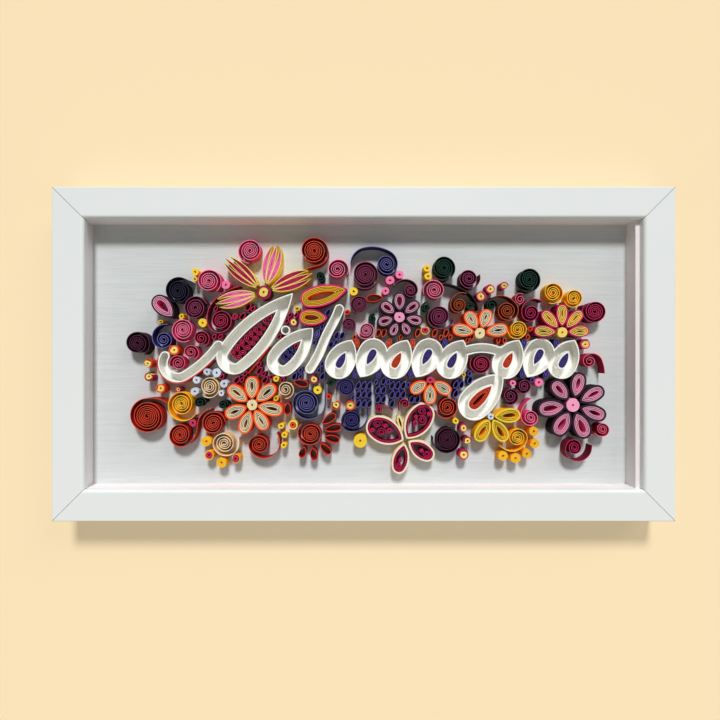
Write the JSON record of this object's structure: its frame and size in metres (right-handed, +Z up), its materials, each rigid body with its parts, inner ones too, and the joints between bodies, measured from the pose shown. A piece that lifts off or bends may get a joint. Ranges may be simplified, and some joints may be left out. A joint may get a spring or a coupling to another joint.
{
  "type": "quilled paper picture",
  "caption": "White wooden shadow-box frame with a quilled paper picture: coils, tight rolls, flowers, a butterfly and a white ribbon of hollow leaves on a pale card.",
  "frame": {"origin": "middle of the bottom rail's lower face, centred over the total depth with the hanger", "axes": "+X to the right seen from the front, -Y out of the picture towards the viewer, +Z up"},
  "size_m": [0.3346, 0.0216, 0.1795],
  "materials": {
    "amber_rings": "matte",
    "back_board": "raw fibreboard",
    "backing_card": "matte, fine laid texture",
    "black_petal_wraps": "matte",
    "blue_coils": "matte",
    "brown_coils": "matte",
    "butterfly_body": "matte",
    "butterfly_wing_edges": "matte",
    "butterfly_wing_filling": "matte",
    "cream_coils": "matte",
    "cream_flower_centres": "matte",
    "cream_petal_loops": "matte",
    "crimson_coils": "matte",
    "crimson_filling": "matte",
    "dark_plum_coils": "matte",
    "dark_scroll_strips": "matte",
    "white_frame": "satin white lacquer",
    "golden_petal_loops": "matte",
    "green_coils": "matte",
    "zinc_plated": "zinc plated",
    "leaf_flower_edges": "matte",
    "leaf_flower_loops": "matte",
    "leaf_flower_orchid_loops": "matte",
    "white_liner": "matte",
    "magenta_coils": "matte",
    "magenta_ring_wraps": "matte",
    "magenta_wraps": "matte",
    "navy_coils": "matte",
    "orange_filling": "matte",
    "orange_leaf_loops": "matte",
    "orange_petal_wraps": "matte",
    "orange_ring_wraps": "matte",
    "pink_coils": "matte",
    "pink_flower_centres": "matte",
    "pink_petal_loops": "matte",
    "pink_rings": "matte",
    "plum_coils": "matte",
    "purple_coils": "matte",
    "purple_drops": "matte",
    "purple_filling": "matte",
    "red_coils": "matte",
    "red_drops": "matte",
    "red_scroll_strips": "matte",
    "rose_coils": "matte",
    "white_beads": "matte",
    "white_leaf_ribbon": "matte",
    "white_ribbon_floor": "matte",
    "yellow_coils": "matte",
    "yellow_cores": "matte",
    "yellow_flower_centres": "matte",
    "yellow_petal_loops": "matte",
    "yellow_rings": "matte"
  },
  "bodies": {
    "root": {"amber_rings": "amber_rings", "back_board": "back_board", "backing_card": "backing_card", "black_petal_wraps": "black_petal_wraps", "blue_coils": "blue_coils", "brown_coils": "brown_coils", "butterfly_body": "butterfly_body", "butterfly_wing_edges": "butterfly_wing_edges", "butterfly_wing_filling": "butterfly_wing_filling", "cream_coils": "cream_coils", "cream_flower_centres": "cream_flower_centres", "cream_petal_loops": "cream_petal_loops", "crimson_coils": "crimson_coils", "crimson_filling": "crimson_filling", "dark_plum_coils": "dark_plum_coils", "dark_scroll_strips": "dark_scroll_strips", "frame_bottom_rail": "white_frame", "frame_left_stile": "white_frame", "frame_right_stile": "white_frame", "frame_top_rail": "white_frame", "golden_petal_loops": "golden_petal_loops", "green_coils": "green_coils", "hanger_nails": "zinc_plated", "leaf_flower_edges": "leaf_flower_edges", "leaf_flower_loops": "leaf_flower_loops", "leaf_flower_orchid_loops": "leaf_flower_orchid_loops", "liner_bottom": "white_liner", "liner_left": "white_liner", "liner_right": "white_liner", "liner_top": "white_liner", "magenta_coils": "magenta_coils", "magenta_ring_wraps": "magenta_ring_wraps", "magenta_wraps": "magenta_wraps", "navy_coils": "navy_coils", "orange_filling": "orange_filling", "orange_leaf_loops": "orange_leaf_loops", "orange_petal_wraps": "orange_petal_wraps", "orange_ring_wraps": "orange_ring_wraps", "pink_coils": "pink_coils", "pink_flower_centres": "pink_flower_centres", "pink_petal_loops": "pink_petal_loops", "pink_rings": "pink_rings", "plum_coils": "plum_coils", "purple_coils": "purple_coils", "purple_drops": "purple_drops", "purple_filling": "purple_filling", "red_coils": "red_coils", "red_drops": "red_drops", "red_scroll_strips": "red_scroll_strips", "retaining_points": "zinc_plated", "rose_coils": "rose_coils", "sawtooth_hanger": "zinc_plated", "white_beads": "white_beads", "white_leaf_ribbon": "white_leaf_ribbon", "white_ribbon_floor": "white_ribbon_floor", "yellow_coils": "yellow_coils", "yellow_cores": "yellow_cores", "yellow_flower_centres": "yellow_flower_centres", "yellow_petal_loops": "yellow_petal_loops", "yellow_rings": "yellow_rings"}
  },
  "joints": []
}
